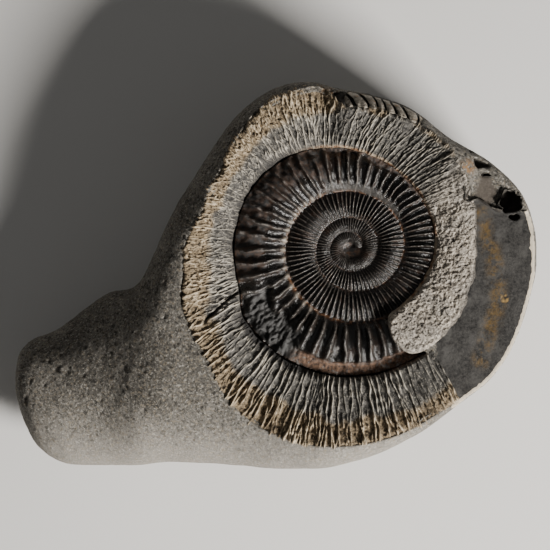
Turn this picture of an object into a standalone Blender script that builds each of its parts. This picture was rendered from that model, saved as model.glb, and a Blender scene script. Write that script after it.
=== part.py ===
"""A Dactylioceras ammonite in the limestone nodule that holds it.

The coil faces up. The origin is level with the flat spot that the nodule rests on, under the
middle of its outline. All lengths are in metres.
"""

import math

import bmesh
import bpy
import numpy as np

# Outline of the nodule, seen from above, as (x, y) from the tail's tip to the broad end
HALF_LENGTH = 0.0655
FAR_SIDE = (
    (-0.0655, -0.0275), (-0.0645, -0.0200), (-0.0615, -0.0165), (-0.0550, -0.0137),
    (-0.0478, -0.0083), (-0.0412, -0.0042), (-0.0355, -0.0030), (-0.0320, 0.0017),
    (-0.0265, 0.0138), (-0.0193, 0.0258), (-0.0100, 0.0393), (-0.0010, 0.0463),
    (0.0088, 0.0485), (0.0155, 0.0468), (0.0248, 0.0450), (0.0348, 0.0412),
    (0.0430, 0.0347), (0.0532, 0.0285), (0.0588, 0.0238), (0.0623, 0.0192),
    (0.0647, 0.0125), (0.0655, 0.0045),
)
NEAR_SIDE = (
    (-0.0655, -0.0275), (-0.0646, -0.0330), (-0.0632, -0.0370), (-0.0610, -0.0417),
    (-0.0578, -0.0450), (-0.0520, -0.0477), (-0.0440, -0.0481), (-0.0350, -0.0479),
    (-0.0265, -0.0470), (-0.0175, -0.0473), (0.0000, -0.0485), (0.0093, -0.0485),
    (0.0210, -0.0464), (0.0348, -0.0404), (0.0465, -0.0318), (0.0532, -0.0265),
    (0.0595, -0.0175), (0.0632, -0.0073), (0.0646, -0.0017), (0.0655, 0.0045),
)
# Height of the widest level, and how far the stone reaches above and below it, along x
GIRTH_LEVEL = ((-0.0655, 0.0175), (-0.045, 0.018), (-0.030, 0.020), (0.0, 0.0212), (0.0655, 0.022))
REACH_UP = (
    (-0.0655, 0.013), (-0.050, 0.0137), (-0.042, 0.0152), (-0.034, 0.0185), (-0.026, 0.0207),
    (-0.010, 0.0215), (0.015, 0.0218), (0.0655, 0.0210),
)
REACH_DOWN = ((-0.0655, 0.012), (-0.045, 0.0145), (-0.028, 0.0185), (0.0, 0.0226), (0.040, 0.0226),
              (0.0655, 0.018))
# How square the cross-section is above the widest level: 2 is an ellipse
FAR_SQUARENESS = ((-0.0655, 2.0), (-0.045, 2.2), (-0.035, 3.0), (-0.020, 4.2), (0.010, 5.0), (0.0655, 5.0))
NEAR_SQUARENESS = ((-0.0655, 2.0), (-0.045, 2.1), (-0.020, 2.4), (-0.008, 2.9), (0.005, 4.6),
                   (0.015, 6.0), (0.0655, 6.0))
UNDER_SQUARENESS = 2.5
END_SQUARENESS = 5.0
STONE_STATIONS = 42
STONE_AROUND = 24

# The coil, as polar values about its centre: degrees from +X, then metres
COIL_CENTRE = (0.01875, 0.00675)
FACE_COLUMNS = 200
POCKET_EDGE = (
    (0, 0.0213), (30, 0.0220), (60, 0.0230), (90, 0.0250), (120, 0.0275), (150, 0.0290),
    (180, 0.0293), (200, 0.0298), (212, 0.0318), (240, 0.0322), (285, 0.0322), (288, 0.0316),
    (291, 0.0240), (294, 0.0210), (300, 0.0195), (330, 0.0200),
)
FACE_EDGE = (
    (0, 0.0312), (20, 0.0325), (35, 0.0345), (50, 0.0350), (90, 0.0352), (103, 0.0415),
    (120, 0.0418), (135, 0.0397), (150, 0.0380), (165, 0.0382), (172, 0.0393), (178, 0.0413),
    (188, 0.0425), (200, 0.0448), (215, 0.0450), (230, 0.0487), (245, 0.0505), (255, 0.0505),
    (270, 0.0495), (285, 0.0482), (300, 0.0467), (304.5, 0.0464), (305.9, 0.0315), (330, 0.0315),
)
POCKET_LIP_LEVEL = (
    (0, 0.0342), (60, 0.0348), (90, 0.0360), (130, 0.0365), (180, 0.0365), (202, 0.0360),
    (204, 0.0368), (240, 0.0363), (285, 0.0360), (292, 0.0368), (300, 0.0362), (330, 0.0345),
)
BROKEN_EDGE_LEVEL = 0.0364
POCKET_FLOOR = 0.0270
FACE_FOOT = 0.0240
LEDGE = 0.0006
RIBBED_FROM, RIBBED_TO = 22.0, 305.0
CREST_HEIGHT = 0.00045
CREST_REACH = 0.0003
GRAIN_HEIGHT = 0.00025
LOBE_SWELL = 0.0014
EDGE_BEVEL = 0.0008

# The break that laid the stone open beside the ring: plan outline and sloping floor
BREAK_OUTLINE = (
    (0.0330, -0.0174), (0.0425, -0.0320), (0.0466, -0.0346), (0.0540, -0.0450), (0.0750, -0.0450),
    (0.0750, 0.0160), (0.0560, 0.0158), (0.0500, 0.0190), (0.0440, 0.0170),
)
BREAK_ORIGIN = (0.0520, 0.0)
BREAK_LEVEL = 0.0354
BREAK_FALL = (-0.13, 0.05)

# Small hollows where chips have come away: (x, y), half sizes, turn in degrees
CHIPS = (
    ((0.0585, 0.0185), (0.0038, 0.0030, 0.0036), 35),
    ((0.0500, 0.0282), (0.0022, 0.0016, 0.0024), 20),
    ((0.0529, 0.0248), (0.0024, 0.0009, 0.0018), -8),
    ((0.0590, 0.0147), (0.0022, 0.0009, 0.0014), 10),
)

# Overlapping scales along the far shoulder, ribs of the turn that lies over the edge
SCALES = 7
SCALES_FROM, SCALES_TO = (0.0215, 0.0440), (0.0335, 0.0403)
SCALE_HALF_SIZES = (0.0011, 0.0024, 0.0015)
SCALE_LEAN = 24

# The dark shell: where each turn meets the next, as (degrees wound, radius)
TURN_EDGE = (
    (-360, 0.0008), (-270, 0.0012), (-180, 0.0017), (-90, 0.0023), (0, 0.0032), (90, 0.0040),
    (180, 0.0049), (270, 0.0059), (360, 0.0071), (450, 0.0076), (540, 0.0084), (630, 0.0107),
    (720, 0.0135), (810, 0.0141), (900, 0.0160), (990, 0.0184), (1020, 0.0193),
)
SHELL_GAP = 0.0003
SHELL_START, SHELL_END = -360, 1005
COLUMNS_PER_TURN = 96
SHELL_LEVEL = 0.0300
SHELL_FLOOR = POCKET_FLOOR + SHELL_GAP
TUBE_SHARE = 0.40
SEAM_RISE = 0.10
ACROSS_TURN = (0.0, 0.2, 0.5, 0.8)
RIB_SHARE = 0.032

FIRST_CHAMBER = 0.0006
CRUSHED = (1080 + 205, 1080 + 246)
CRUSHED_SHARE = 0.5
CRUSHED_DEPTH = (0.0003, 0.0014)

STONE_COLOUR, STONE_ROUGHNESS = (0.42, 0.40, 0.36), 0.85
SHELL_COLOUR, SHELL_ROUGHNESS = (0.035, 0.028, 0.024), 0.3
SMOOTH_UP_TO = 35
FACE_SEED, SHELL_SEED = 5, 11
ROOM_COLUMNS, ROOM_MARGIN, CUTTER_TOP = 72, 0.0016, 0.060
LENS_FACETS, CHIP_SINK, SCALE_SINK = 2, 0.0006, 0.0004


def through(points, at, period=None):
    """Values at the places `at` of a smooth curve through (place, value) points.

    Between two points it never leaves their range, so a sudden step stays one.
    """
    place, value = np.array(points, float).T
    if period:
        place = np.concatenate([place - period, place, place + period])
        value = np.tile(value, 3)
    fall = np.diff(value) / np.diff(place)
    before, after = np.concatenate([fall[:1], fall]), np.concatenate([fall, fall[-1:]])
    steepest = np.where(before * after > 0, 3 * np.minimum(np.abs(before), np.abs(after)), 0)
    slope = np.clip(np.gradient(value, place), -steepest, steepest)
    i = np.clip(np.searchsorted(place, at, side="right") - 1, 0, len(place) - 2)
    step = place[i + 1] - place[i]
    t = (at - place[i]) / step
    rise = value[i + 1] - value[i]
    return (
        value[i]
        + rise * t * t * (3 - 2 * t)
        + step * t * (1 - t) * (slope[i] * (1 - t) - slope[i + 1] * t)
    )


def side_of_outline(points, x):
    """The outline's y at x, smooth round the blunt ends because it is read by angle."""
    by_angle = [(math.acos(np.clip(-px / HALF_LENGTH, -1, 1)), py) for px, py in points]
    return through(by_angle, np.arccos(np.clip(-x / HALF_LENGTH, -1, 1)))


def section(x):
    """Middle y, half width, widest level, reach up and reach down of the stone at x."""
    far = side_of_outline(FAR_SIDE, x)
    near = side_of_outline(NEAR_SIDE, x)
    end = (1 - np.abs(np.clip(x / HALF_LENGTH, -1, 1)) ** END_SQUARENESS) ** (1 / END_SQUARENESS)
    girth = through(GIRTH_LEVEL, x)
    return (far + near) / 2, (far - near) / 2, girth, through(REACH_UP, x) * end, through(REACH_DOWN, x) * end


def stone_top(x, y):
    """Height of the whole stone's upper surface over (x, y)."""
    middle, half, girth, up, _ = section(x)
    square = np.where(y > middle, through(FAR_SQUARENESS, x), through(NEAR_SQUARENESS, x))
    out = np.clip(np.abs(y - middle) / half, 0, 1)
    return girth + up * (1 - out**square) ** (1 / square)


def break_floor(x, y):
    """Height of the break's sloping floor over (x, y)."""
    return BREAK_LEVEL + BREAK_FALL[0] * (x - BREAK_ORIGIN[0]) + BREAK_FALL[1] * (y - BREAK_ORIGIN[1])


def mesh_object(name, points, faces):
    """A mesh object of these points and faces, its faces turned to point out."""
    mesh = bpy.data.meshes.new(name)
    bm = bmesh.new()
    corners = [bm.verts.new(point) for point in points]
    for face in faces:
        bm.faces.new([corners[i] for i in face])
    bmesh.ops.recalc_face_normals(bm, faces=bm.faces)
    bm.to_mesh(mesh)
    bm.free()
    obj = bpy.data.objects.new(name, mesh)
    bpy.context.collection.objects.link(obj)
    return obj


def lofted(name, rings):
    """A solid skinned over rings of equal length, with a face across each end."""
    count = len(rings[0])
    points = [point for ring in rings for point in ring]
    faces = []
    for r in range(len(rings) - 1):
        for i in range(count):
            j = (i + 1) % count
            faces.append((r * count + i, r * count + j, (r + 1) * count + j, (r + 1) * count + i))
    faces.append(tuple(range(count)))
    faces.append(tuple(range(len(points) - count, len(points))))
    return mesh_object(name, points, faces)


def combine(obj, other, operation):
    """Joins another solid to this one, or cuts with it, and keeps it out of the render.

    Every solid here is closed, and only the manifold solver keeps the union of the face whole.
    """
    step = obj.modifiers.new(f"{operation.lower()} {other.name}", "BOOLEAN")
    step.operation = operation
    step.solver = "MANIFOLD"
    step.object = other
    other.hide_render = True
    other.display_type = "WIRE"


def whole_stone():
    """The nodule before its face was laid bare: cross-sections from the tail to the broad end."""
    rings = []
    turns = np.linspace(0, math.tau, STONE_AROUND, endpoint=False)
    across, upright = np.cos(turns), np.sin(turns)
    for angle in np.linspace(0, math.pi, STONE_STATIONS + 2)[1:-1]:
        x = -HALF_LENGTH * math.cos(angle)
        middle, half, girth, up, down = (float(value) for value in section(x))
        upper = np.where(across > 0, through(FAR_SQUARENESS, x), through(NEAR_SQUARENESS, x))
        square = np.where(upright > 0, upper, UNDER_SQUARENESS)
        reach = np.where(upright > 0, up, down)
        y = middle + half * np.sign(across) * np.abs(across) ** (2 / square)
        z = girth + reach * np.sign(upright) * np.abs(upright) ** (2 / square)
        rings.append([(x, float(b), max(float(c), 0.0)) for b, c in zip(y, z)])
    return lofted("nodule", rings)


def polar(points, degrees):
    """Values all the way round the coil's centre at these degrees."""
    return through(points, np.asarray(degrees, float) % 360, period=360)


def from_centre(degrees, radius):
    """x and y of a place given by direction and distance from the coil's centre."""
    turn = np.radians(degrees)
    return COIL_CENTRE[0] + radius * np.cos(turn), COIL_CENTRE[1] + radius * np.sin(turn)


def face_of_stone():
    """The ribbed ring and the granular lobe round the shell's pocket, as one dished slab."""
    rng = np.random.default_rng(FACE_SEED)
    degrees = np.arange(FACE_COLUMNS) * 360 / FACE_COLUMNS
    ribbed = (degrees > RIBBED_FROM) & (degrees < RIBBED_TO)
    crest = np.where(np.arange(FACE_COLUMNS) % 2, -1.0, 1.0)
    relief = np.where(ribbed, CREST_HEIGHT * crest, rng.uniform(-GRAIN_HEIGHT, GRAIN_HEIGHT, FACE_COLUMNS))
    inner = polar(POCKET_EDGE, degrees)
    outer = polar(FACE_EDGE, degrees) + np.where(ribbed, CREST_REACH * crest, 0)
    lip = polar(POCKET_LIP_LEVEL, degrees)
    shoulder = stone_top(*from_centre(degrees, outer - EDGE_BEVEL))
    edge = np.where(ribbed, shoulder + LEDGE, BROKEN_EDGE_LEVEL)
    swell = np.where(ribbed, 0, LOBE_SWELL)
    rings = []
    for radius, level in (
        (inner, np.full(FACE_COLUMNS, POCKET_FLOOR)),
        (inner, lip + relief / 2),
        ((inner + outer) / 2, (lip + edge) / 2 + swell + relief),
        (outer - EDGE_BEVEL, edge + relief),
        (outer, edge - EDGE_BEVEL + relief),
        (outer, np.full(FACE_COLUMNS, FACE_FOOT)),
    ):
        x, y = from_centre(degrees, radius)
        rings.append([(float(a), float(b), float(c)) for a, b, c in zip(x, y, level)])
    return lofted("face_of_stone", rings)


def room_for_face():
    """Cutter: the stone that lay over the ring and the pocket."""
    degrees = np.arange(0, 360, 360 / ROOM_COLUMNS)
    x, y = from_centre(degrees, polar(FACE_EDGE, degrees) - ROOM_MARGIN)
    levels = (FACE_FOOT + ROOM_MARGIN, CUTTER_TOP)
    return lofted("room_for_face", [[(float(a), float(b), level) for a, b in zip(x, y)] for level in levels])


def broken_away():
    """Cutter: the piece of stone that broke off beside the ring."""
    low = [(x, y, break_floor(x, y)) for x, y in BREAK_OUTLINE]
    return lofted("broken_away", [low, [(x, y, CUTTER_TOP) for x, y in BREAK_OUTLINE]])


def lens(name, place, half_sizes, turn, sink):
    """A faceted lens on the stone's surface, for a lump that is added or a chip that is lost."""
    mesh = bpy.data.meshes.new(name)
    bm = bmesh.new()
    bmesh.ops.create_icosphere(bm, subdivisions=LENS_FACETS, radius=1.0)
    bmesh.ops.scale(bm, vec=half_sizes, verts=bm.verts)
    bm.to_mesh(mesh)
    bm.free()
    obj = bpy.data.objects.new(name, mesh)
    bpy.context.collection.objects.link(obj)
    obj.location = (*place, float(stone_top(*place)) - sink)
    obj.rotation_euler.z = math.radians(turn)
    return obj


def nodule():
    """The stone: its smooth outside, the face, the break and the chipped corner in one solid."""
    stone = whole_stone()
    combine(stone, room_for_face(), "DIFFERENCE")
    combine(stone, broken_away(), "DIFFERENCE")
    combine(stone, face_of_stone(), "UNION")
    for number in range(SCALES):
        along = number / (SCALES - 1)
        place = [a + (b - a) * along for a, b in zip(SCALES_FROM, SCALES_TO)]
        combine(stone, lens(f"scale_{number}", place, SCALE_HALF_SIZES, SCALE_LEAN, SCALE_SINK), "UNION")
    for number, (place, half_sizes, turn) in enumerate(CHIPS):
        combine(stone, lens(f"chip_{number}", place, half_sizes, turn, CHIP_SINK), "DIFFERENCE")
    return stone


def turn_edge(wound):
    """Radius of the seam between turns after winding this many degrees."""
    last = TURN_EDGE[-1][0]
    inside = through(TURN_EDGE, np.minimum(wound, last))
    return np.where(wound <= last, inside, polar(POCKET_EDGE, wound) - SHELL_GAP)


def ammonite():
    """The coiled shell: one ribbed tube wound on itself, each turn lower than the one outside it."""
    rng = np.random.default_rng(SHELL_SEED)
    step = 360 / COLUMNS_PER_TURN
    columns = round((SHELL_END - SHELL_START) / step)
    rows = len(ACROSS_TURN)
    points = []
    for i in range(columns + COLUMNS_PER_TURN + 1):
        wound = SHELL_START + i * step
        inner, outer = float(turn_edge(wound)), float(turn_edge(wound + 360))
        width = outer - inner
        rib = RIB_SHARE * width * (1 if i % 2 else -1)
        crushed = wound + 360 > CRUSHED[0] and wound + 360 < CRUSHED[1]
        for share in ACROSS_TURN if i <= columns else ACROSS_TURN[:1]:
            seam = SHELL_LEVEL + SEAM_RISE * (inner + share * width)
            bulge = math.sin(math.pi * share)
            z = seam + (SHELL_LEVEL + TUBE_SHARE * width - seam) * bulge**0.8 + rib * bulge**0.5
            if crushed and share >= CRUSHED_SHARE:
                z -= rng.uniform(*CRUSHED_DEPTH)
            x, y = from_centre(wound, inner + share * width)
            points.append((float(x), float(y), z))

    def at(i, row):
        if row == rows:
            return at(i + COLUMNS_PER_TURN, 0)
        return i * rows + row if i <= columns else (columns + 1) * rows + i - columns - 1

    faces = [
        (at(i, row), at(i + 1, row), at(i + 1, row + 1), at(i, row + 1))
        for i in range(columns)
        for row in range(rows)
    ]
    middle = len(points)
    points.append((*COIL_CENTRE, SHELL_LEVEL + FIRST_CHAMBER))
    inmost = [at(i, 0) for i in range(COLUMNS_PER_TURN + 1)] + [at(0, row) for row in range(rows - 1, 0, -1)]
    faces += [(a, b, middle) for a, b in zip(inmost, inmost[1:] + inmost[:1])]
    rim = [at(columns + i, 0) for i in range(COLUMNS_PER_TURN + 1)]
    rim += [at(columns, row) for row in range(rows - 1, 0, -1)]
    foot = len(points)
    points += [(points[i][0], points[i][1], SHELL_FLOOR) for i in rim]
    feet = range(foot, foot + len(rim))
    faces += [(a, b, d, c) for a, b, c, d in zip(rim, rim[1:] + rim[:1], feet, [*feet[1:], foot])]
    faces.append(tuple(feet))
    return mesh_object("ammonite", points, faces)


def finish(obj, name, colour, roughness):
    """Gives a piece its material and its smooth shading."""
    material = bpy.data.materials.new(name)
    material.use_nodes = True
    shader = material.node_tree.nodes["Principled BSDF"]
    shader.inputs["Base Color"].default_value = (*colour, 1)
    shader.inputs["Roughness"].default_value = roughness
    obj.data.materials.append(material)
    obj.data.shade_smooth()
    obj.data.set_sharp_from_angle(angle=math.radians(SMOOTH_UP_TO))


def main():
    for obj in list(bpy.data.objects):
        bpy.data.objects.remove(obj, do_unlink=True)
    finish(nodule(), "limestone", STONE_COLOUR, STONE_ROUGHNESS)
    finish(ammonite(), "fossil_shell", SHELL_COLOUR, SHELL_ROUGHNESS)


main()
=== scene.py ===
"""The looks of a Dactylioceras ammonite that lies face up in its limestone nodule.

Lengths are in metres. A place on the face of the stone is given by its direction from the middle of
the coil, in degrees from +X, and its distance from there.
"""

import math

import bmesh
import bpy
import numpy as np
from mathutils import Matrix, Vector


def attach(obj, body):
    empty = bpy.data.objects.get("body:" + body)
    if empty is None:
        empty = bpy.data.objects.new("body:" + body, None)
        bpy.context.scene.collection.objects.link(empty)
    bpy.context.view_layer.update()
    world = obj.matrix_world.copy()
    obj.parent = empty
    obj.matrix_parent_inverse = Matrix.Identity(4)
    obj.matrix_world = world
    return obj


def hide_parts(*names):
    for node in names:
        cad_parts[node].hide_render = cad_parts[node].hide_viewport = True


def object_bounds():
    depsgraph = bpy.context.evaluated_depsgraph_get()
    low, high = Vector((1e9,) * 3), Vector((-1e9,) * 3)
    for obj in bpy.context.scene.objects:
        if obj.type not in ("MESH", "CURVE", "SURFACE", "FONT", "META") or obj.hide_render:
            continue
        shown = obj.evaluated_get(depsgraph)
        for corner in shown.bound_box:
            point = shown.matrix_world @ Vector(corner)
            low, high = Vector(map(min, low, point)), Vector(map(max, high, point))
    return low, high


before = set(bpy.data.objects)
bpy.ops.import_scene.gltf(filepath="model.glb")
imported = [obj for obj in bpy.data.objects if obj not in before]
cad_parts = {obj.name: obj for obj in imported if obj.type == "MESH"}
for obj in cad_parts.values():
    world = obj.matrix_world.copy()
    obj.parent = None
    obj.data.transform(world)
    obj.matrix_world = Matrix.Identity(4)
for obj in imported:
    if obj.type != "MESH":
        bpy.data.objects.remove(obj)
CAD_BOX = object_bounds()
# How far inside the CAD model's box every point stays
BOX_MARGIN = 1e-5

# Outline of the nodule, seen from above, as (x, y) from the tail's tip to the broad end
HALF_LENGTH = 0.0655
FAR_SIDE = (
    (-0.0655, -0.0275), (-0.0645, -0.0200), (-0.0615, -0.0165), (-0.0550, -0.0137),
    (-0.0478, -0.0083), (-0.0412, -0.0042), (-0.0355, -0.0030), (-0.0320, 0.0017),
    (-0.0265, 0.0138), (-0.0193, 0.0258), (-0.0100, 0.0393), (-0.0010, 0.0463),
    (0.0088, 0.0485), (0.0155, 0.0468), (0.0248, 0.0450), (0.0348, 0.0412),
    (0.0430, 0.0347), (0.0532, 0.0285), (0.0588, 0.0238), (0.0623, 0.0192),
    (0.0647, 0.0125), (0.0655, 0.0045),
)
NEAR_SIDE = (
    (-0.0655, -0.0275), (-0.0646, -0.0330), (-0.0632, -0.0370), (-0.0610, -0.0417),
    (-0.0578, -0.0450), (-0.0520, -0.0477), (-0.0440, -0.0481), (-0.0350, -0.0479),
    (-0.0265, -0.0470), (-0.0175, -0.0473), (0.0000, -0.0485), (0.0093, -0.0485),
    (0.0210, -0.0464), (0.0348, -0.0404), (0.0465, -0.0318), (0.0532, -0.0265),
    (0.0595, -0.0175), (0.0632, -0.0073), (0.0646, -0.0017), (0.0655, 0.0045),
)
# Along x: the level where the stone is widest, its reach above and below, and how square it is there
GIRTH_LEVEL = ((-0.0655, 0.0175), (-0.045, 0.018), (-0.030, 0.020), (0.0, 0.0212), (0.0655, 0.022))
REACH_UP = (
    (-0.0655, 0.013), (-0.050, 0.0137), (-0.042, 0.0152), (-0.034, 0.0185), (-0.026, 0.0207),
    (-0.010, 0.0215), (0.015, 0.0218), (0.0655, 0.0210),
)
REACH_DOWN = (
    (-0.0655, 0.012), (-0.045, 0.0145), (-0.028, 0.0185), (0.0, 0.0226), (0.040, 0.0226),
    (0.0655, 0.018),
)
FAR_SQUARENESS = (
    (-0.0655, 2.0), (-0.045, 2.2), (-0.035, 3.0), (-0.020, 4.2), (0.010, 5.0), (0.0655, 5.0),
)
NEAR_SQUARENESS = (
    (-0.0655, 2.0), (-0.045, 2.1), (-0.020, 2.4), (-0.008, 2.9), (0.005, 4.6), (0.015, 6.0),
    (0.0655, 6.0),
)
UNDER_SQUARENESS = 2.5
END_SQUARENESS = 5.0
STATIONS, AROUND = 160, 128

# The face and the shell's pocket, as (degrees, value) about the middle of the coil
COIL_CENTRE = (0.01875, 0.00675)
COIL_REACH = 0.0300
FACE_EDGE = (
    (0, 0.0312), (20, 0.0325), (35, 0.0345), (50, 0.0350), (90, 0.0352), (103, 0.0415),
    (120, 0.0418), (135, 0.0397), (150, 0.0380), (165, 0.0382), (172, 0.0393), (178, 0.0413),
    (188, 0.0425), (200, 0.0448), (215, 0.0450), (230, 0.0487), (245, 0.0505), (255, 0.0505),
    (270, 0.0495), (285, 0.0482), (300, 0.0467), (304.5, 0.0464), (305.9, 0.0315), (330, 0.0315),
)
POCKET_LIP_LEVEL = (
    (0, 0.0342), (60, 0.0348), (90, 0.0360), (130, 0.0365), (180, 0.0365), (202, 0.0360),
    (204, 0.0368), (240, 0.0363), (285, 0.0360), (292, 0.0368), (300, 0.0362), (330, 0.0345),
)
POCKET_FLOOR = 0.0270
# The ring's foot, its height above the stone beside it, and its rounded edge
FACE_FOOT = 0.0240
LEDGE = 0.0006
EDGE_BEVEL = 0.0008
# Points above this level belong to the stone's upper side
UPPER_SIDE = 0.0300
# The ring's first and last direction, and the last one where it has its full width
RING_FROM, RING_TO = 14.0, 305.4
FULL_WIDTH_TO = 304.4
RING_INNER = (
    (0, 0.0213), (30, 0.0220), (60, 0.0230), (90, 0.0250), (120, 0.0275), (150, 0.0290),
    (180, 0.0293), (200, 0.0298), (212, 0.0318), (240, 0.0322), (285, 0.0322), (290, 0.0318),
    (294, 0.0290), (306, 0.0290), (330, 0.0250),
)
# Radius where the ring's tan outer zone begins
TAN_FROM = (
    (0, 0.0312), (22, 0.0335), (50, 0.0343), (90, 0.0345), (103, 0.0350), (130, 0.0350),
    (150, 0.0338), (180, 0.0350), (200, 0.0375), (215, 0.0400), (240, 0.0420), (270, 0.0425),
    (306, 0.0418), (330, 0.0330),
)
# How tall the ring's crests are, and how many degrees they lean from the inner to the outer edge
CREST_STRENGTH = (
    (0, 0.3), (30, 0.75), (60, 0.95), (110, 0.95), (150, 0.9), (195, 0.9), (215, 1), (290, 1),
    (310, 0.6),
)
CREST_LEAN = ((0, -4), (45, -6), (80, -8), (110, -5), (150, -1), (200, 0), (270, 1), (310, 0))
SHORT_CRESTS, WEB_CRESTS, CREST_KNOTS = 900, 650, 7
# Directions between which short slanting crests tie the long ones into a web
WEB_RANGE = (104, 206)
# The crack at the ring's left, and directions where the ring dips to the pocket in a wide slope
CRACK_AT = 203
WIDE_LIP = (95, 205, 20)

# The granular lobe, from its rounded end on to where it fades into the ring
LOBE_FROM, LOBE_TO = 294.6, 386.0
LOBE_INNER = (
    (294.6, 0.0243), (295.6, 0.0222), (298, 0.0200), (304, 0.0189), (315, 0.0191), (330, 0.0195),
    (360, 0.0210), (386, 0.0216),
)
LOBE_OUTER = (
    (294.6, 0.0248), (296, 0.0272), (299, 0.0298), (304, 0.0311), (312, 0.0316), (330, 0.0316),
    (360, 0.0313), (386, 0.0330),
)
LOBE_INNER_LEVEL = (
    (294.6, 0.0367), (300, 0.0365), (315, 0.0350), (330, 0.0341), (360, 0.0337), (386, 0.0346),
)
LOBE_OUTER_LEVEL = (
    (294.6, 0.0367), (300, 0.0369), (312, 0.0369), (330, 0.0366), (360, 0.0369), (386, 0.0384),
)
LOBE_FOOT = 0.0290
# Where the far right shoulder slopes down to the break
SLOPE_FROM, SLOPE_TO, SLOPE_DROP = 18, 44, 0.0040

# The break beside the ring: plan outline and sloping floor
BREAK_OUTLINE = (
    (0.0330, -0.0174), (0.0425, -0.0320), (0.0466, -0.0346), (0.0540, -0.0450), (0.0750, -0.0450),
    (0.0750, 0.0160), (0.0560, 0.0158), (0.0500, 0.0190), (0.0440, 0.0170),
)
BREAK_FAR_EDGE = ((0.0400, 0.0175), (0.0500, 0.0194), (0.0560, 0.0162), (0.0750, 0.0164))
BREAK_ORIGIN = (0.0520, 0.0)
BREAK_LEVEL = 0.0354
BREAK_FALL = (-0.13, 0.05)

# The rusty stain down the middle of the break
STAIN = ((0.0512, 0.0152), (0.0545, 0.0037), (0.0558, -0.0062), (0.0530, -0.0150), (0.0512, -0.0212))
# A small rusty pit in the break, and the smooth brownish pad between the break and the ring's end
PIT, PIT_REACH = (0.0572, -0.0060), 0.0010
PAD_MIDDLE, PAD_REACH = (0.0523, 0.0208), (0.0032, 0.0042)
# A bump and a hole on the far edge of the stone, and rusty spots with their inner and outer reach
BUMP_MIDDLE, BUMP_REACH, BUMP_RISE = (0.0094, 0.0466), (0.0042, 0.0022), 0.0012
HOLE_MIDDLE, HOLE_REACH, HOLE_DEPTH = (0.0162, 0.0441), (0.0036, 0.0019), 0.0020
RUSTY_SPOTS = (((0.0133, 0.0440), 0.0008, 0.0034), ((0.0478, 0.0268), 0.0004, 0.0028))

# Pockets where stone has broken out of the far right shoulder: plan outline and depth
POCKETS = (
    (((0.0572, 0.0216), (0.0601, 0.0217), (0.0613, 0.0200), (0.0625, 0.0165), (0.0603, 0.0154),
      (0.0568, 0.0150), (0.0546, 0.0176), (0.0555, 0.0196)), 0.0042),
    (((0.0486, 0.0296), (0.0502, 0.0293), (0.0521, 0.0281), (0.0541, 0.0271), (0.0539, 0.0262),
      (0.0515, 0.0266), (0.0502, 0.0262), (0.0492, 0.0275)), 0.0026),
    (((0.0506, 0.0250), (0.0520, 0.0256), (0.0555, 0.0257), (0.0550, 0.0247), (0.0530, 0.0242),
      (0.0512, 0.0243)), 0.0024),
    (((0.0480, 0.0312), (0.0494, 0.0311), (0.0505, 0.0303), (0.0494, 0.0299), (0.0481, 0.0302)), 0.0018),
    (((0.0576, 0.0152), (0.0605, 0.0155), (0.0618, 0.0144), (0.0598, 0.0134), (0.0578, 0.0140)), 0.0030),
)
POCKET_TAPER = 0.85
# Levels of the cutters: their top, above all stone, and the floor of the room for the face
ABOVE_STONE = 0.06
ROOM_FLOOR, ROOM_INSET = 0.0256, 0.0016

# Ribs of the next turn along the far shoulder: directions, reach from the ring, and the lowest level
# that they come down to; the stone has a trough under them
RIBS_FROM, RIBS_TO = 59.0, 93.0
RIBS_INNER, RIBS_REACH = 0.0352, 0.0046
RIBS_PITCH = 4.2
RIBS_LOWEST = 0.0320
RIBS_COLUMNS, RIBS_ROWS = 420, 48
TROUGH_DEPTH = 0.0020

# The dark shell: where each turn meets the next, as (degrees wound, radius). Winding starts at the
# first chamber, and the looks change to those of the last turn between the values of LAST_TURN.
TURN_EDGE = (
    (-360, 0.0008), (-270, 0.0012), (-180, 0.0017), (-90, 0.0023), (0, 0.0032), (90, 0.0040),
    (180, 0.0049), (270, 0.0059), (360, 0.0071), (450, 0.0076), (540, 0.0084), (630, 0.0107),
    (720, 0.0135), (810, 0.0141), (900, 0.0160), (990, 0.0184), (1020, 0.0192), (1050, 0.0197),
    (1080, 0.0210), (1110, 0.0217), (1140, 0.0227), (1170, 0.0247), (1200, 0.0272), (1230, 0.0287),
    (1260, 0.0290), (1280, 0.0295), (1292, 0.0315), (1320, 0.0319), (1384, 0.0319),
)
SHELL_START, SHELL_END = -360, 1022
LAST_TURN = (654, 672)
SHELL_LEVEL = 0.0300
SHELL_FLOOR = 0.0273
TUBE_SHARE = 0.40
SEAM_RISE = 0.10
FIRST_CHAMBER = 0.0006
# Degrees from one rib to the next, along the winding
RIB_SPACING = (
    (-360, 10.0), (-75, 6.5), (100, 5.6), (285, 5.2), (450, 5.0), (640, 4.6), (740, 5.0),
    (800, 6.7), (860, 7.6), (960, 7.9), (1005, 7.2),
)

# Mesh steps of each piece
FACE_COLUMNS, FACE_ROWS = 1360, 62
LOBE_COLUMNS, LOBE_ROWS = 620, 100
SHELL_COLUMNS, SHELL_ROWS = 720, 32
VOXEL = 0.00045
STONE_TRIANGLES = 190000

# Camera, floor and light
LENS_MM, SENSOR_MM = 300.0, 36.0
SEEN_WIDTH, SEEN_LEVEL = 0.1375, 0.030
FLOOR_LEVEL, AIM_LEVEL = -0.0002, 0.02
WHITE, WARM_LIGHT, SOFT_WHITE = (1, 1, 1), (1.0, 0.97, 0.93), (1, 0.99, 0.97)
WORLD_STRENGTH = 0.09


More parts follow.
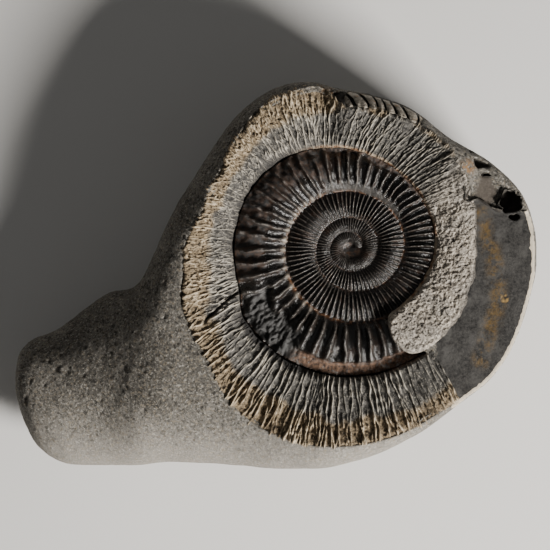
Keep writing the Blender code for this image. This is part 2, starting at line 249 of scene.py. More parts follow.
def through(points, at, period=None):
    """Values at the places `at` of a smooth curve through (place, value) points.

    Between two points it never leaves their range, so a sudden step stays one.
    """
    place, value = np.array(points, float).T
    if period:
        place = np.concatenate([place - period, place, place + period])
        value = np.tile(value, 3)
    fall = np.diff(value) / np.diff(place)
    before, after = np.concatenate([fall[:1], fall]), np.concatenate([fall, fall[-1:]])
    steepest = np.where(before * after > 0, 3 * np.minimum(np.abs(before), np.abs(after)), 0)
    slope = np.clip(np.gradient(value, place), -steepest, steepest)
    i = np.clip(np.searchsorted(place, at, side="right") - 1, 0, len(place) - 2)
    step = place[i + 1] - place[i]
    t = (at - place[i]) / step
    rise = value[i + 1] - value[i]
    return (
        value[i]
        + rise * t * t * (3 - 2 * t)
        + step * t * (1 - t) * (slope[i] * (1 - t) - slope[i + 1] * t)
    )


def polar(points, degrees):
    """Values all the way round the coil's centre at these degrees."""
    return through(points, np.asarray(degrees, float) % 360, period=360)


def from_centre(degrees, radius):
    """x and y of a place given by direction and distance from the coil's centre."""
    turn = np.radians(degrees)
    return COIL_CENTRE[0] + radius * np.cos(turn), COIL_CENTRE[1] + radius * np.sin(turn)


def to_polar(x, y):
    """Direction in degrees and distance from the coil's centre of places (x, y)."""
    dx, dy = x - COIL_CENTRE[0], y - COIL_CENTRE[1]
    return np.degrees(np.arctan2(dy, dx)) % 360, np.hypot(dx, dy)


def xyz(x, y, z):
    """Places as one array whose last axis is (x, y, z)."""
    return np.stack([x, y, z], axis=-1)


def ramp(value, low, high):
    """0 below low and 1 above high, with a soft change between."""
    t = np.clip((value - low) / (high - low), 0, 1)
    return t * t * (3 - 2 * t)


def between(degrees, start, end, soft):
    """1 inside a range of directions, 0 outside it, with soft ends."""
    off = np.abs((degrees - (start + end) / 2 + 180) % 360 - 180)
    return 1 - ramp(off, (end - start) / 2 - soft, (end - start) / 2)


def grain(points, size, seed, octaves=1):
    """Smooth random values, about -1 to 1, that change over about `size` metres.

    `points` is an array of any shape whose last axis is (x, y, z). Each octave is half as large.
    """
    table = np.random.default_rng(seed).uniform(-1, 1, (32, 32, 32))
    flat = points.reshape(-1, 3)
    total = np.zeros(len(flat))
    for octave in range(octaves):
        place = flat * 2**octave / size + 7.3 * octave
        cell = np.floor(place).astype(int)
        t = place - cell
        t = t * t * (3 - 2 * t)
        for corner in np.ndindex(2, 2, 2):
            weight = np.prod(np.where(corner, t, 1 - t), axis=1)
            i, j, k = ((cell + corner) % 32).T
            total += weight * table[i, j, k] / 2**octave
    return total.reshape(points.shape[:-1])


def side_of_outline(points, x):
    """The outline's y at x, smooth round the blunt ends because it is read by angle."""
    by_angle = [(math.acos(np.clip(-px / HALF_LENGTH, -1, 1)), py) for px, py in points]
    return through(by_angle, np.arccos(np.clip(-x / HALF_LENGTH, -1, 1)))


def section(x):
    """Middle y, half width, widest level, reach up and reach down of the stone at x."""
    far = side_of_outline(FAR_SIDE, x)
    near = side_of_outline(NEAR_SIDE, x)
    end = (1 - np.abs(np.clip(x / HALF_LENGTH, -1, 1)) ** END_SQUARENESS) ** (1 / END_SQUARENESS)
    up, down = through(REACH_UP, x) * end, through(REACH_DOWN, x) * end
    return (far + near) / 2, (far - near) / 2, through(GIRTH_LEVEL, x), up, down


def stone_top(x, y):
    """Height of the whole stone's upper surface over (x, y)."""
    middle, half, girth, up, _ = section(x)
    square = np.where(y > middle, through(FAR_SQUARENESS, x), through(NEAR_SQUARENESS, x))
    out = np.clip(np.abs(y - middle) / half, 0, 1)
    return girth + up * (1 - out**square) ** (1 / square)


def break_floor(x, y):
    """Height of the break's sloping floor over (x, y)."""
    return BREAK_LEVEL + BREAK_FALL[0] * (x - BREAK_ORIGIN[0]) + BREAK_FALL[1] * (y - BREAK_ORIGIN[1])


def mesh_object(name, points, faces):
    """A mesh object of these points and faces, its faces turned to point out."""
    mesh = bpy.data.meshes.new(name)
    mesh.from_pydata(points, [], faces)
    bm = bmesh.new()
    bm.from_mesh(mesh)
    bmesh.ops.recalc_face_normals(bm, faces=bm.faces)
    bm.to_mesh(mesh)
    bm.free()
    obj = bpy.data.objects.new(name, mesh)
    bpy.context.collection.objects.link(obj)
    return obj


def lofted(name, rings):
    """A solid skinned over rings of equal length, with a face across each end."""
    count = len(rings[0])
    points = [point for ring in rings for point in ring]
    faces = []
    for r in range(len(rings) - 1):
        for i in range(count):
            j = (i + 1) % count
            faces.append((r * count + i, r * count + j, (r + 1) * count + j, (r + 1) * count + i))
    faces.append(tuple(range(count)))
    faces.append(tuple(range(len(points) - count, len(points))))
    return mesh_object(name, points, faces)


def apply_modifiers(obj):
    """Turns an object's modifiers into its mesh."""
    bpy.context.view_layer.update()
    graph = bpy.context.evaluated_depsgraph_get()
    mesh = bpy.data.meshes.new_from_object(obj.evaluated_get(graph))
    obj.modifiers.clear()
    obj.data = mesh


def cut(obj, cutter):
    """Takes the cutter's room out of a solid, and then removes the cutter."""
    step = obj.modifiers.new(cutter.name, "BOOLEAN")
    step.operation = "DIFFERENCE"
    step.solver = "EXACT"
    step.object = cutter
    apply_modifiers(obj)
    bpy.data.objects.remove(cutter)


def read_points(obj, what="co"):
    """The places of the mesh's points, or their "normal" directions, as an array."""
    flat = np.empty(len(obj.data.vertices) * 3)
    obj.data.vertices.foreach_get(what, flat)
    return flat.reshape(-1, 3)


def move_points(obj, points):
    """Puts the mesh's points in new places, inside the CAD model's box."""
    low, high = np.array(CAD_BOX[0]) + BOX_MARGIN, np.array(CAD_BOX[1]) - BOX_MARGIN
    points = np.clip(points, low, high)
    obj.data.vertices.foreach_set("co", points.ravel())
    obj.data.update()


def paint(obj, name, values):
    """Stores one value a point under a name that the material reads."""
    layer = obj.data.attributes.new(name, "FLOAT", "POINT")
    layer.data.foreach_set("value", np.clip(values, 0, 1).astype(np.float32))


def slope_share(degrees):
    """How much of its full drop the far right shoulder has in this direction, 0 to 1."""
    return 1 - ramp((degrees + 180) % 360 - 180, SLOPE_FROM, SLOPE_TO)


def whole_stone():
    """The nodule before its face was laid bare: cross-sections from the tail to the broad end."""
    rings = []
    turns = np.linspace(0, math.tau, AROUND, endpoint=False)
    across, upright = np.cos(turns), np.sin(turns)
    for angle in np.linspace(0, math.pi, STATIONS + 2)[1:-1]:
        x = -HALF_LENGTH * math.cos(angle)
        middle, half, girth, up, down = (float(value) for value in section(x))
        upper = np.where(across > 0, through(FAR_SQUARENESS, x), through(NEAR_SQUARENESS, x))
        square = np.where(upright > 0, upper, UNDER_SQUARENESS)
        reach = np.where(upright > 0, up, down)
        y = middle + half * np.sign(across) * np.abs(across) ** (2 / square)
        z = girth + reach * np.sign(upright) * np.abs(upright) ** (2 / square)
        rings.append([(x, float(b), max(float(c), 0.0)) for b, c in zip(y, z)])
    return lofted("stone", rings)


def room_above(name, floor, outline):
    """Cutter: from a floor of (x, y, z) points up to this outline above the stone."""
    return lofted(name, [floor, [(x, y, ABOVE_STONE) for x, y in outline]])


def room_for_face():
    """Cutter: the stone that lay over the ring and the pocket."""
    degrees = np.arange(0, 360, 3)
    x, y = from_centre(degrees, polar(FACE_EDGE, degrees) - ROOM_INSET)
    outline = list(zip(x.tolist(), y.tolist()))
    return room_above("room", [(a, b, ROOM_FLOOR) for a, b in outline], outline)


def broken_away():
    """Cutter: the piece of stone that broke off beside the ring."""
    floor = [(x, y, break_floor(x, y)) for x, y in BREAK_OUTLINE]
    return room_above("broken_away", floor, BREAK_OUTLINE)


def pocket(number, outline, depth):
    """Cutter: one pocket, narrower at its floor."""
    plan = np.array(outline)
    middle = plan.mean(axis=0)
    degrees, _ = to_polar(*middle)
    top = float(stone_top(*middle) - SLOPE_DROP * slope_share(degrees))
    low = middle + (plan - middle) * POCKET_TAPER
    floor = [(x, y, top - depth) for x, y in low.tolist()]
    return room_above(f"pocket_{number}", floor, plan.tolist())


def distance_to_edge(degrees, floor):
    """How far from the coil's centre the whole stone rises above floor(x, y), in these directions."""
    near, far = np.full_like(degrees, 0.025), np.full_like(degrees, 0.060)
    for _ in range(24):
        middle = (near + far) / 2
        x, y = from_centre(degrees, middle)
        top = stone_top(np.clip(x, -HALF_LENGTH, HALF_LENGTH), y)
        inside = (np.abs(x) < HALF_LENGTH) & (top > floor(x, y))
        near, far = np.where(inside, middle, near), np.where(inside, far, middle)
    return near


def near_line(x, y, ends):
    """Distance of places (x, y) from a straight line between two ends."""
    (ax, ay), (bx, by) = ends
    along = ((x - ax) * (bx - ax) + (y - ay) * (by - ay)) / ((bx - ax) ** 2 + (by - ay) ** 2)
    along = np.clip(along, 0, 1)
    return np.hypot(x - ax - along * (bx - ax), y - ay - along * (by - ay))


def off_middle(x, y, middle, reach):
    """How far places (x, y) are from a spot's middle: 1 at its reach in x and in y."""
    return np.hypot((x - middle[0]) / reach[0], (y - middle[1]) / reach[1])


def carved_stone():
    """The whole stone less the room for the face, the break and the pockets, evenly meshed."""
    obj = whole_stone()
    cut(obj, room_for_face())
    cut(obj, broken_away())
    for number, (outline, depth) in enumerate(POCKETS):
        cut(obj, pocket(number, outline, depth))
    remesh = obj.modifiers.new("remesh", "REMESH")
    remesh.mode = "VOXEL"
    remesh.voxel_size = VOXEL
    apply_modifiers(obj)
    return obj


def stone():
    """The nodule outside the ring, with the break, the pockets and the trough on its shoulder."""
    obj = carved_stone()
    points = read_points(obj)
    x, y, z = points.T
    degrees, radius = to_polar(x, y)
    on_stone = np.clip(x, -HALF_LENGTH, HALF_LENGTH)
    depth = stone_top(on_stone, y) - z
    outside_coil = radius > COIL_REACH
    face_up = z > UPPER_SIDE

    # Where the stone is freshly broken, hollowed by a pocket, or worn smooth. The worn mask's near side
    # is also painted paler: painted light on the side the light falls on
    fresh = (np.abs(z - break_floor(x, y)) < 0.0007) & (depth > 0.0003) & (x > 0.04)
    fresh = np.where(fresh & (y < through(BREAK_FAR_EDGE, x)), 1.0, 0.0)
    hollow = ramp(depth, 0.0006, 0.0014) * (1 - fresh) * (x > 0.045) * (y > 0.0125)
    middle, half = section(on_stone)[:2]
    hollow = hollow * outside_coil * (z > 0.027) * (np.abs(y - middle) < 0.94 * half)
    worn_and_lit = 1 - ramp(y, -0.047, -0.030) * ramp(z, 0.005, 0.014)

    # Slow swell, fine grain and pits, with ripples on the break and crumbly pocket walls
    rough = (1 - 0.75 * fresh) * (1 - 0.6 * worn_and_lit)
    swing = 0.00020 * grain(points, 0.010, 1, 2) + rough * 0.00009 * grain(points, 0.0013, 2, 3)
    pits = np.maximum(grain(points, 0.0012, 3, 2) - 0.6, 0) * rough * 0.0008
    ripples = fresh * 0.00016 * grain(points * (1, 0.45, 1), 0.0018, 4, 3)
    above_foot = ramp(z, 0.0, 0.0012)
    moved = points + read_points(obj, "normal") * ((swing - pits + ripples) * above_foot)[:, None]
    crumbs = np.column_stack([grain(points, 0.0016, seed, 2) for seed in (5, 6, 7)])
    moved += (hollow * 0.0005)[:, None] * crumbs

    # The bed under the ring, the sloping shoulder, the trough under the ribs, the bump and the hole
    bed = ramp(polar(FACE_EDGE, degrees) - 0.0003 - radius, 0, 0.0006) * face_up
    moved[:, 2] -= bed * 0.0012
    slope = slope_share(degrees) * (degrees < 90) * ramp(z, 0.034, 0.040)
    moved[:, 2] -= SLOPE_DROP * slope * (1 - fresh) * ramp(depth, 0.0025, 0.0005) * outside_coil
    trough = between(degrees, RIBS_FROM + 0.5, RIBS_TO - 0.5, 2) * ramp(radius, 0.0350, 0.0354)
    far_end = RIBS_INNER + RIBS_REACH
    trough = trough * (1 - ramp(radius, far_end - 0.0016, far_end - 0.0006)) * face_up
    moved[:, 2] -= trough * TROUGH_DEPTH
    bump = 1 - ramp(off_middle(x, y, BUMP_MIDDLE, BUMP_REACH), 0.3, 1.0)
    moved[:, 2] += BUMP_RISE * bump * (z > 0.036)
    hole = (1 - ramp(off_middle(x, y, HOLE_MIDDLE, HOLE_REACH), 0.5, 1.0)) * (z > 0.034)
    moved[:, 2] -= HOLE_DEPTH * hole * (0.7 + 0.5 * grain(points, 0.0015, 8, 2))
    move_points(obj, moved)

    # Values for the material
    paint(obj, "fresh", fresh)
    # painted shade: the trough, the hole and the deeper floors of the pockets are painted dark
    paint(obj, "dark", np.maximum(np.maximum(trough, hole), hollow * ramp(depth, 0.001, 0.003)))
    paint(obj, "worn_and_lit", worn_and_lit)
    rust = [1 - ramp(np.hypot(x - a, y - b), core, reach) for (a, b), core, reach in RUSTY_SPOTS]
    paint(obj, "rust", np.max(rust, axis=0) * (z > 0.034))
    stain = np.min([near_line(x, y, ends) for ends in zip(STAIN, STAIN[1:])], axis=0)
    paint(obj, "stain", 1 - ramp(stain, 0.0004, 0.0032))
    rim = distance_to_edge(degrees, break_floor) - radius
    paint(obj, "rim", ramp(rim, 0.0001, 0.0020))
    pad = off_middle(x, y, PAD_MIDDLE, PAD_REACH) + 0.2 * grain(points, 0.0025, 9, 2)
    paint(obj, "pad", (1 - ramp(pad, 0.75, 1.05)) * face_up)
    pit = np.hypot(x - PIT[0], y - PIT[1]) / PIT_REACH
    paint(obj, "pit", 1 - ramp(pit, 0.45, 0.60))
    paint(obj, "pit_rim", ramp(pit, 0.45, 0.60) * (1 - ramp(pit, 0.80, 1.05)))
    fewer = obj.modifiers.new("fewer", "DECIMATE")
    fewer.ratio = STONE_TRIANGLES / sum(len(face.vertices) - 2 for face in obj.data.polygons)
    apply_modifiers(obj)
    return obj


def shoulder_ribs():
    """Pad-like ribs of the next turn on the far shoulder, with deep curved slots between them."""
    degrees = np.linspace(RIBS_FROM, RIBS_TO, RIBS_COLUMNS)
    share = np.linspace(0, 1, RIBS_ROWS)[:, None]
    edge = distance_to_edge(degrees, lambda x, y: 0 * x + RIBS_LOWEST)
    reach = np.minimum(RIBS_REACH, edge - RIBS_INNER)
    radius = RIBS_INNER - 0.0004 + reach * share
    x, y = from_centre(degrees, radius)
    top = stone_top(x, y)
    spots = xyz(x, y, top)
    fine = grain(spots, 0.0011, 51, 3)
    broad = grain(spots, 0.0040, 52, 2)
    sweep = (2.2 * share + 2.6 * share**2) * reach / RIBS_REACH
    place = (degrees - sweep) / RIBS_PITCH + 0.20 * broad + 0.22 * np.sin(degrees / 3.1)
    along = place % 1
    pad = np.sin(np.pi * np.clip(along / 0.74, 0, 1)) ** 0.6
    slot = ramp(along, 0.70, 0.78) * (1 - ramp(along, 0.94, 1.0))
    fade = ramp(degrees, RIBS_FROM, RIBS_FROM + 4) * (1 - ramp(degrees, RIBS_TO - 3, RIBS_TO))
    slot = slot * fade * ramp(share, 0.06, 0.18)
    tips = 1 - ramp(share, 0.80, 1.0)
    relief = (0.0006 * pad * fade + 0.00012 * fine) * tips
    level = top - 0.0002 - 0.0022 * (1 - fade) + relief - 0.0021 * slot
    level = level - 0.0006 * (1 - ramp(share, 0, 0.10)) - 0.0004 * ramp(share, 0.8, 1)
    surface = xyz(x, y, level)
    deep = level.min() - 0.002
    inside = sides(degrees, radius[0], level[0], deep, ((1, 0), (0.5, 0)))
    outside = sides(degrees, radius[-1], level[-1], deep, ((0.3, 0.0006), (1, 0.0010)))
    obj = slab("shoulder_ribs", np.concatenate([inside, surface, outside]))
    # The slots, which the material paints near-black as painted shade
    paint(obj, "slot", over_section(slot, 2, 2))
    return obj


def crests(degrees, share):
    """The ring's thin wandering crests, 0 to 1, over a grid of direction and share of its width."""
    rng = np.random.default_rng(21)
    height = np.zeros((len(share), len(degrees)))
    step = degrees[1] - degrees[0]

    def draw(start, first, last, width, drift, tall, wander):
        """Raises one crest from share `first` to share `last` of the ring's width."""
        knots = np.linspace(0, 1, CREST_KNOTS)
        path = [(s, drift * (s - first) + rng.uniform(-wander, wander)) for s in knots]
        path = start + through([(s, off if s > first else 0.0) for s, off in path], share)
        line = tall * ramp(share, first - 0.02, first + 0.08) * (1 - ramp(share, last - 0.12, last))
        line = line * (0.78 + 0.22 * np.sin(share * rng.uniform(16, 40) + rng.uniform(0, 6)))
        reach = int(3 * width / step) + 1
        for row, centre in enumerate(path):
            near = int(round((centre - degrees[0]) / step)) + np.arange(-reach, reach + 1)
            near = near[(near >= 0) & (near < len(degrees))]
            off = np.abs(degrees[near] - centre)
            ridge = line[row] * np.exp(-((off / width) ** 1.3))
            height[row, near] = np.maximum(height[row, near], ridge)

    angle = degrees[0]
    while angle < degrees[-1]:
        drift = float(polar(CREST_LEAN, angle)) + rng.uniform(-1.4, 1.4)
        tall = float(polar(CREST_STRENGTH, angle)) * rng.uniform(0.6, 1.15)
        width = rng.uniform(0.22, 0.44)
        last = rng.uniform(0.6, 1.0) if rng.random() < 0.3 else 1.3
        draw(angle - drift / 2, -0.2, last, width, drift, tall, 0.55)
        if rng.random() < 0.65:
            fork = rng.uniform(0.15, 0.7)
            turned = drift + rng.choice((-1, 1)) * 2.6
            draw(angle - drift / 2 + drift * fork, fork, 1.3, width * 0.85, turned, tall * 0.9, 0.5)
        angle += rng.uniform(1.5, 3.4)
    for _ in range(SHORT_CRESTS):
        angle, first = rng.uniform(degrees[0], degrees[-1]), rng.uniform(-0.1, 0.85)
        drift = float(polar(CREST_LEAN, angle)) + rng.uniform(-5, 5)
        tall = float(polar(CREST_STRENGTH, angle)) * rng.uniform(0.3, 0.75)
        draw(angle, first, first + rng.uniform(0.15, 0.45), rng.uniform(0.18, 0.28), drift, tall, 0.3)
    for _ in range(WEB_CRESTS):
        angle, first = rng.uniform(*WEB_RANGE), rng.uniform(-0.1, 0.85)
        drift, tall = rng.uniform(-14, 14), rng.uniform(0.5, 0.95)
        draw(angle, first, first + rng.uniform(0.15, 0.35), rng.uniform(0.24, 0.36), drift, tall, 0.5)
    return height


def quads_between(index):
    """Four-sided faces over a grid of point numbers."""
    corners = (index[:-1, :-1], index[:-1, 1:], index[1:, 1:], index[1:, :-1])
    return np.stack(corners, axis=-1).reshape(-1, 4).tolist()


def slab(name, sections):
    """A closed strip of stone: sections is an array (places round the section, places along, 3)."""
    count, along = sections.shape[:2]
    index = np.arange(count * along).reshape(count, along)
    faces = quads_between(np.vstack([index, index[:1]]))
    faces += [index[:, 0].tolist(), index[:, -1].tolist()]
    obj = mesh_object(name, sections.reshape(-1, 3).tolist(), faces)
    move_points(obj, read_points(obj))
    return obj


def over_section(field, before, after):
    """A value for each place on the upper surface, carried on to the section's sides."""
    return np.pad(field, ((before, after), (0, 0)), mode="edge").ravel()


def sides(degrees, radius, level, foot, shares):
    """Places down a steep side: a share of the drop to the foot, and how far the side leans inward."""
    parts = []
    for share, lean in shares:
        parts.append(xyz(*from_centre(degrees, radius - lean), level + (foot - level) * share))
    return np.stack(parts)


def paint_face_stone(obj, before, after, lobe, **fields):
    """Stores the values that the ring's material reads; one that isn't given is 0."""
    for name in ("crest", "tan", "shelf", "dark", "line"):
        paint(obj, name, over_section(fields.get(name, 0 * lobe), before, after))
    paint(obj, "lobe", over_section(lobe, before, after))


def ring_face():
    """The pale ribbed ring round the shell's pocket, with the rusty shelf under the lobe's end."""
    degrees = RING_FROM + (RING_TO - RING_FROM) * np.linspace(0, 1, FACE_COLUMNS)
    share = np.linspace(0, 1, FACE_ROWS)
    crest = crests(degrees, share)
    grainy = 1 - ramp(degrees, 22, 44)
    wide_lip = between(degrees, *WIDE_LIP)

    # Plan: a slightly wavy inner edge and a ragged outer one
    along = xyz(*from_centre(degrees, 0.040), 0 * degrees)
    ragged = 0.00045 * grain(along, 0.0020, 31, 2) + 0.00035 * grain(along, 0.007, 32)
    ragged = ragged * (1 + 0.7 * between(degrees, *WEB_RANGE, 10))
    inner = polar(RING_INNER, degrees) + 0.0002 * grain(along, 0.003, 30, 2)
    inner = inner - 0.0003 * (1 - ramp(degrees, 95, 130))
    capped = np.minimum(degrees, FULL_WIDTH_TO)
    outer = polar(FACE_EDGE, capped) + ragged + 0.0005 * (crest[-3] - 0.3)
    flat = outer - EDGE_BEVEL
    radius = inner + (flat - inner) * share[:, None]
    turned = degrees + 3.0 * ramp(degrees, 288, 305) * np.clip((0.0473 - radius) / 0.0133, 0, 1.2)
    x, y = from_centre(turned, radius)

    # Level: from the pocket's lip up to the whole stone's surface, sunk where the lobe covers it
    sunk = 0.0016 * (1 - ramp(degrees, 14, 23))
    lip = polar(POCKET_LIP_LEVEL, np.minimum(degrees, 285)) - 0.0002 - sunk
    edge = stone_top(*from_centre(capped, flat)) + LEDGE - 0.0004
    edge = edge - SLOPE_DROP * (1 - ramp(degrees, SLOPE_FROM, SLOPE_TO)) - sunk
    fall = np.clip((radius - inner) / (0.0016 + 0.0014 * wide_lip), 0, 1)
    base = lip + (edge - lip) * share[:, None] - (0.0008 + 0.0008 * wide_lip) * (1 - fall) ** 2

    # Crests, beads and pits, coarser in the tan outer zone and beside the lobe
    spots = xyz(x, y, base)
    fine = grain(spots, 0.0009, 33, 2)
    broad = grain(spots, 0.0045, 34, 2)
    dust = grain(spots, 0.00045, 35, 1)
    tan = ramp(radius - polar(TAN_FROM, degrees) + 0.0016 * broad + 0.0006 * fine, -0.0010, 0.0012)
    crest = crest * (0.82 + 0.30 * np.clip(broad, -1, 1)) * (1 - 0.15 * np.clip(-fine, 0, 1))
    furrow = 0.0004 * between(degrees, 208, 306, 10) * tan * (1 - ramp(crest, 0.1, 0.5))
    tall = 0.00115 * crest * (1 - 0.6 * grainy) - 0.00040 - furrow
    holes = np.maximum(fine - 0.35, 0) * (0.0009 * tan + 0.0004)
    bead = fine * (0.00010 + 0.00016 * tan + 0.00026 * grainy) + 0.00005 * dust - holes
    level = base + tall + bead + 0.00020 * broad

    # The flat shelf, the crack with a step beside it, and rubble along the pocket below it
    shelf = between(degrees, 286, 330, 3) * (1 - ramp(radius, 0.0318, 0.0327))
    level = level * (1 - shelf) + shelf * (0.0330 + 0.00025 * broad + 0.0001 * fine)
    crack_at = CRACK_AT + 2.0 * (radius - 0.033) / 0.004
    crack = np.exp(-(((degrees - crack_at) / 0.55) ** 2)) * ramp(0.0415 - radius, 0, 0.001)
    step = ramp(degrees - crack_at, -0.2, 0.4) * (1 - ramp(degrees, 215, 240))
    level = level - 0.0010 * crack + 0.0005 * step * ramp(0.042 - radius, 0, 0.004)
    rubble = 1 - ramp(radius - inner, 0.0004, 0.0022 + 0.0012 * fine)
    rubble = rubble * between(degrees, CRACK_AT, 262, 12)
    level = level - 0.0006 * rubble + 0.0004 * rubble * fine

    # The closed slab: down into the pocket, over the surface, round the edge and down to its foot
    wall = ((1, 0.0002), (0.6, 0.00015), (0.3, 0.0001), (0.1, 0))
    inside = sides(turned[0], inner, level[0], POCKET_FLOOR, wall)
    surface = xyz(x, y, level)
    rim = []
    for part, drop in ((0.5, 0.00015), (0.85, 0.0005), (1.0, 0.0011), (0.97, 0.0022)):
        rim.append(xyz(*from_centre(turned[-1], flat + (outer - flat) * part), level[-1] - drop))
    rim.append(xyz(*from_centre(turned[-1], outer - 0.0012), np.full(FACE_COLUMNS, FACE_FOOT)))
    obj = slab("ring_face", np.concatenate([inside, surface, np.stack(rim)]))

    line = (1 - ramp(radius - inner, 0.0002, 0.0007)) * (1 - ramp(degrees, 95, 130))
    # painted shade: a soft dark band along the ring's inner lip at the left, and the crack painted dark
    # as shade; the rubble is dark of its own
    lip_shade = 1 - ramp(radius - inner + 0.0004 * broad, -0.0004, 0.0026)
    dark = np.clip(crack + rubble + 0.8 * between(degrees, 100, 196, 26) * lip_shade, 0, 1)
    fields = {"crest": crest, "tan": tan, "shelf": shelf, "dark": dark, "line": line}
    paint_face_stone(obj, 4, 5, grainy + 0 * radius, **fields)
    return obj


def lobe():
    """The granular lobe that lies over the outer turn and the shelf, with a rounded end."""
    degrees = LOBE_FROM + (LOBE_TO - LOBE_FROM) * np.linspace(0, 1, LOBE_COLUMNS) ** 1.15
    share = np.linspace(0, 1, LOBE_ROWS)[:, None]
    along = xyz(*from_centre(degrees, 0.028), 0 * degrees)
    inner = through(LOBE_INNER, degrees) + 0.00015 * grain(along, 0.0016, 61, 2)
    ragged = 0.00045 * grain(along, 0.0030, 62, 3) * ramp(degrees, 296, 310)
    outer = through(LOBE_OUTER, degrees) + ragged
    radius = inner + (outer - inner) * share
    x, y = from_centre(degrees, radius)

    # A low swell between its edges, rounded down at both, more so at its tip
    low, high = through(LOBE_INNER_LEVEL, degrees), through(LOBE_OUTER_LEVEL, degrees)
    swell = 0.0006 * 4 * share * (1 - share)
    base = low + (high - low) * share + swell - 0.0016 * ramp(degrees, 376, 386)
    tip = 1 - ramp(degrees, 300, 318)
    base = base - (0.0007 + 0.0008 * tip) * (1 - np.clip((radius - inner) / 0.0018, 0, 1)) ** 2
    base = base - (0.0006 + 0.0009 * tip) * (1 - np.clip((outer - radius) / 0.0014, 0, 1)) ** 2
    spots = xyz(x, y, base)
    fine = grain(spots, 0.0010, 63, 3)
    small = grain(spots, 0.0005, 64, 2)
    broad = grain(spots, 0.0036, 65, 2)
    level = base + 0.00030 * fine + 0.00017 * small + 0.00024 * broad
    level = level - 0.0006 * np.maximum(fine - 0.5, 0)
    surface = xyz(x, y, level)
    inside = sides(degrees, inner, level[0], LOBE_FOOT, ((1, 0), (0.5, 0)))
    outside = sides(degrees, outer, level[-1], LOBE_FOOT, ((0.06, -0.00015), (0.5, -0.0002), (1, 0)))
    obj = slab("granular_lobe", np.concatenate([inside, surface, outside]))
    line = (1 - ramp(radius - inner, 0.0003, 0.0009)) * ramp(degrees, 300, 315)
    margin = 1 - ramp(outer - radius, 0.0001, 0.0009 + 0.0006 * broad)
    margin = margin * ramp(degrees, 308, 322) * 0.75
    paint_face_stone(obj, 2, 3, np.ones_like(radius), dark=margin, line=line)
    return obj


def turn_edge(wound):
    """Radius of the seam between turns after winding this many degrees."""
    return through(TURN_EDGE, wound)


def loop_pairs(numbers):
    """Each number with the next one round a closed loop."""
    return list(zip(numbers, numbers[1:] + numbers[:1]))


def wound_solid(name, grid, wound):
    """A closed coil from a grid of places: rows across the tube, columns along it.

    Each turn's outer edge is the inner edge of the turn outside it. The last turn has a rim of its
    own instead. From the last turn's whole edge a wall goes straight down to a flat floor.
    """
    rows, columns = grid.shape[0], grid.shape[1] - 1
    body = grid.transpose(1, 0, 2).reshape(-1, 3)
    base = len(body)
    rim_wound = wound[-1] + 360 / SHELL_COLUMNS * np.arange(1, SHELL_COLUMNS + 1)
    rim_level = (2 * grid[-1, :, 2] - grid[-2, :, 2])[-SHELL_COLUMNS:]
    rim = xyz(*from_centre(rim_wound, turn_edge(rim_wound)), rim_level)
    points = np.vstack([body, rim])
    follow = np.arange(columns + 1) + SHELL_COLUMNS
    index = np.empty((rows + 1, columns + 1), int)
    index[:rows] = np.arange(columns + 1) * rows + np.arange(rows)[:, None]
    index[rows] = np.where(follow <= columns, follow * rows, base + follow - columns - 1)
    faces = quads_between(index)
    inmost = index[0, :SHELL_COLUMNS + 1].tolist() + index[rows - 1:0:-1, 0].tolist()
    middle = len(points)
    faces += [(a, b, middle) for a, b in loop_pairs(inmost)]
    edge = [int(index[0, columns]), *range(base, base + SHELL_COLUMNS)]
    edge += index[rows - 1:0:-1, columns].tolist()
    below = list(range(middle + 1, middle + 1 + len(edge)))
    floor_middle = below[-1] + 1
    faces += [(a, b, d, c) for (a, b), (c, d) in zip(loop_pairs(edge), loop_pairs(below))]
    faces += [(a, b, floor_middle) for a, b in loop_pairs(below)]
    feet = points[edge].copy()
    feet[:, 2] = SHELL_FLOOR
    top, floor = (*COIL_CENTRE, SHELL_LEVEL + FIRST_CHAMBER), (*COIL_CENTRE, SHELL_FLOOR)
    return mesh_object(name, np.vstack([points, top, feet, floor]).tolist(), faces)


